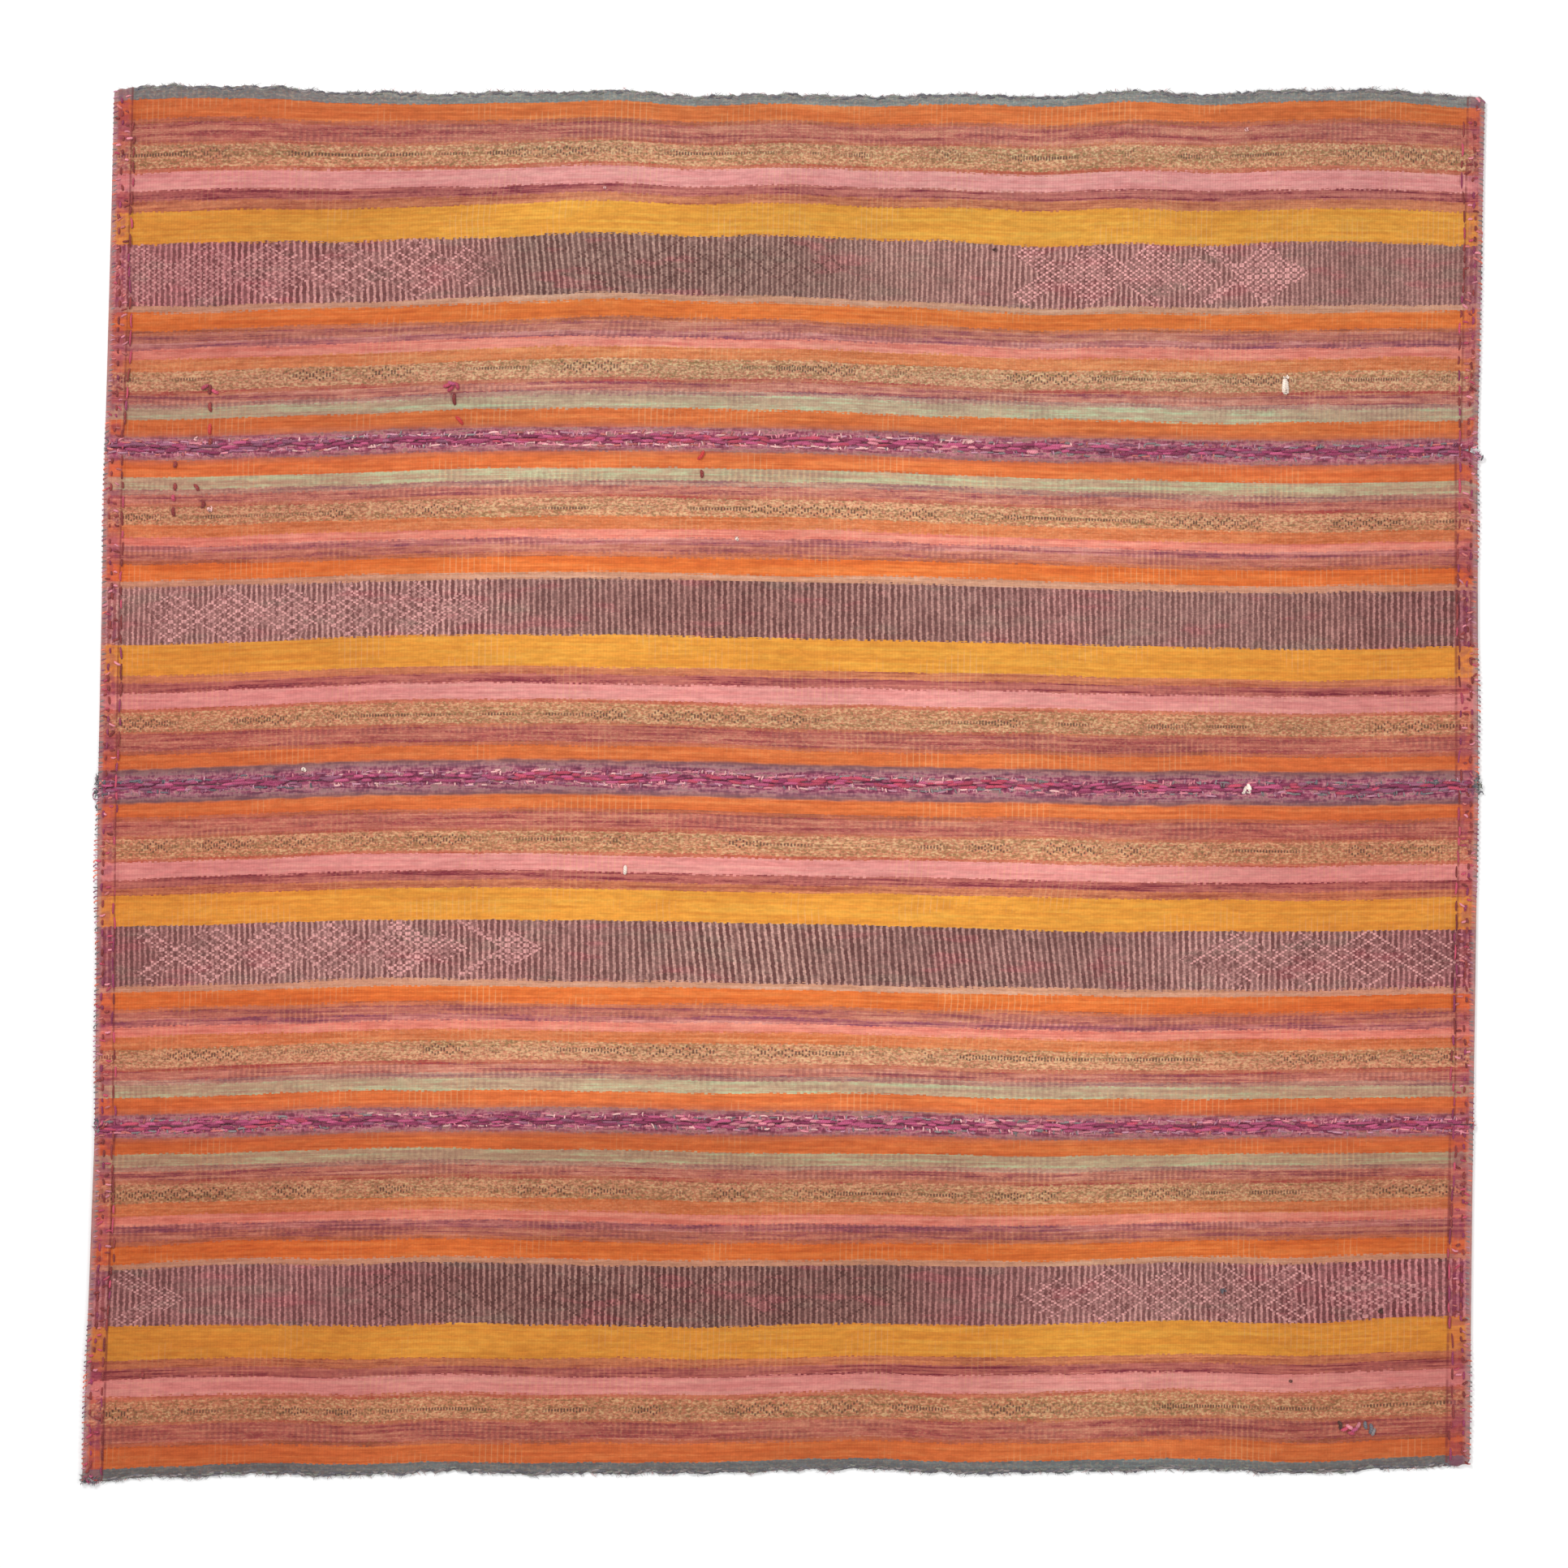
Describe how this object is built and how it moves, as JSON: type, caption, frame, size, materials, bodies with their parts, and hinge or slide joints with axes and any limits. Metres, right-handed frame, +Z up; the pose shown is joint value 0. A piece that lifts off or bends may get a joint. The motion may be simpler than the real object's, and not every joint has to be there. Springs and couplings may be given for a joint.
{
  "type": "turkish kilim",
  "caption": "Flat striped wool kilim of narrow woven strips sewn side by side, with folded hems and stitched ends.",
  "frame": {"origin": "under the middle of the rug's box, on the surface that it lies on", "axes": "+X along the stripes and warp threads, +Y across the strips towards the picture's upper edge, +Z up from the surface"},
  "size_m": [1.6324, 1.628, 0.0046],
  "materials": {
    "striped_wool": "matte warp-faced handspun wool in orange, gold, pink, rose, tan and grey stripes",
    "sewing_yarn": "matte magenta and red wool yarn of the seams, hems and mends"
  },
  "bodies": {
    "root": {"woven_strip_1": "striped_wool", "woven_strip_2": "striped_wool", "woven_strip_3": "striped_wool", "woven_strip_4": "striped_wool"}
  },
  "joints": []
}
